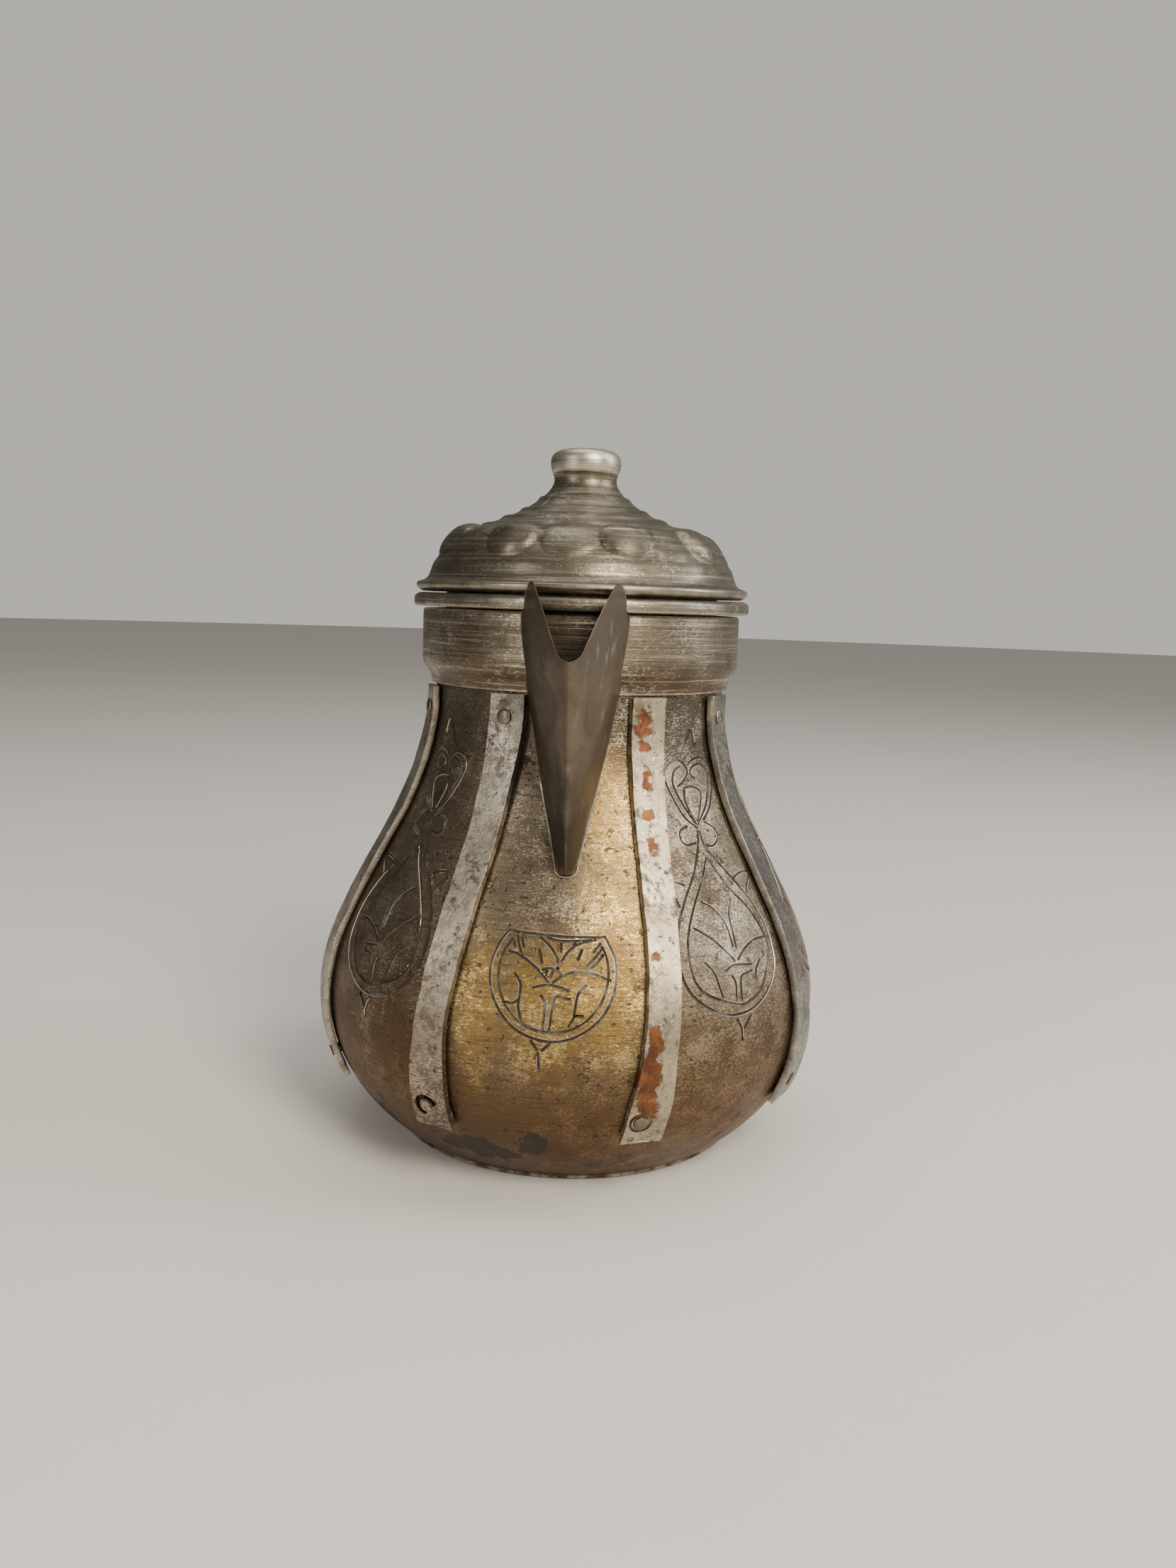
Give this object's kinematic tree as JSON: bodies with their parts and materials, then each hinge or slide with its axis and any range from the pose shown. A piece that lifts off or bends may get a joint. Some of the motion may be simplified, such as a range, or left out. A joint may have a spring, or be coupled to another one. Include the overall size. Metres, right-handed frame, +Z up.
{
  "type": "coffee pot",
  "caption": "Pear-shaped metal coffee pot with a folded beak, riveted ribs, a loop handle and a hinged domed lid with a knob.",
  "frame": {"origin": "centre of the flat underside, on the pot's axis", "axes": "+Z up along the pot's axis, the beak points to -Y, the handle and the lid hinge are at +Y"},
  "size_m": [0.1496, 0.184, 0.2045],
  "materials": {
    "aged_tin": "tinned copper, aged and speckled, half dull",
    "worn_tin": "tinned copper worn bright, with bare copper patches",
    "dark_copper": "dark brown patinated copper",
    "lid_tin": "tinned copper with fine turning lines",
    "rivet_copper": "hammered copper, dull"
  },
  "bodies": {
    "pot": {"body_shell": "aged_tin", "base_plate": "aged_tin", "collar": "worn_tin", "rim_ring": "worn_tin", "beak": "dark_copper", "handle": "dark_copper", "hinge_leaf_body": "rivet_copper", "hinge_pin": "rivet_copper", "hinge_body_rivet_right": "rivet_copper", "hinge_body_rivet_left": "rivet_copper", "rib_front_right": "worn_tin", "rib_rivet_top_front_right": "rivet_copper", "rib_rivet_bottom_front_right": "rivet_copper", "rib_side_right": "worn_tin", "rib_rivet_top_side_right": "rivet_copper", "rib_rivet_bottom_side_right": "rivet_copper", "rib_rear_side_right": "worn_tin", "rib_rivet_top_rear_side_right": "rivet_copper", "rib_rivet_bottom_rear_side_right": "rivet_copper", "rib_back_right": "worn_tin", "rib_rivet_top_back_right": "rivet_copper", "rib_rivet_bottom_back_right": "rivet_copper", "rib_back_left": "worn_tin", "rib_rivet_top_back_left": "rivet_copper", "rib_rivet_bottom_back_left": "rivet_copper", "rib_rear_side_left": "worn_tin", "rib_rivet_top_rear_side_left": "rivet_copper", "rib_rivet_bottom_rear_side_left": "rivet_copper", "rib_side_left": "worn_tin", "rib_rivet_top_side_left": "rivet_copper", "rib_rivet_bottom_side_left": "rivet_copper", "rib_front_left": "worn_tin", "rib_rivet_top_front_left": "rivet_copper", "rib_rivet_bottom_front_left": "rivet_copper", "handle_rivet_upper_high": "rivet_copper", "handle_rivet_upper_low": "rivet_copper", "handle_rivet_lower_high": "rivet_copper", "handle_rivet_lower_low": "rivet_copper"},
    "lid": {"lid_dome": "lid_tin", "lid_sleeve": "lid_tin", "knob": "lid_tin", "knob_washer": "rivet_copper", "hinge_leaf_lid": "rivet_copper", "hinge_lid_rivet_right": "rivet_copper", "hinge_lid_rivet_left": "rivet_copper"}
  },
  "joints": [
    {"name": "lid_hinge", "type": "hinge", "parent": "pot", "child": "lid", "pos_m": [0, 0.0541, 0.165], "axis": [-1, 0, 0], "range_deg": [0, 105]}
  ]
}
